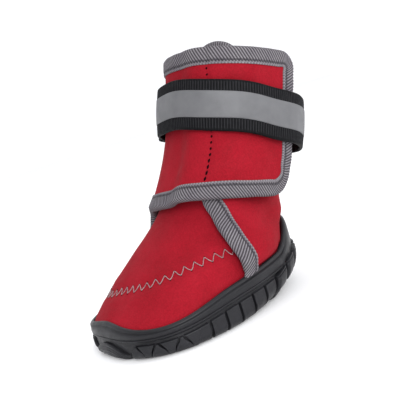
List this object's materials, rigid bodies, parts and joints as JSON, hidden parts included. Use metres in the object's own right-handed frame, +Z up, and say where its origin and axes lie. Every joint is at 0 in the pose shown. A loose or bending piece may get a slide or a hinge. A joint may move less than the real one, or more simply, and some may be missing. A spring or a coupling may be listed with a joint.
{
  "type": "dog bootie",
  "caption": "Stretch-cloth dog boot with a wrap-over flap, tongue, bound edges, hook-and-loop webbing strap and a lugged rubber cup sole.",
  "frame": {"origin": "under the sole on its centre plane, on the flat underside of the fourth V bar from the toe, on the plane that all the lugs stand on", "axes": "+Z up, -Y to the toe, +X to the side where the flap ends by the heel"},
  "size_m": [0.0742, 0.1155, 0.1062],
  "materials": {
    "sole_rubber": "satin",
    "insole_felt": "matt",
    "stretch_cloth": "matt",
    "edge_tape": "matt",
    "webbing": "matt"
  },
  "bodies": {
    "root": {"outsole": "sole_rubber", "insole": "insole_felt", "upper": "stretch_cloth", "tongue": "stretch_cloth", "edge_binding": "edge_tape", "tongue_binding": "edge_tape", "strap": "webbing"}
  },
  "joints": []
}
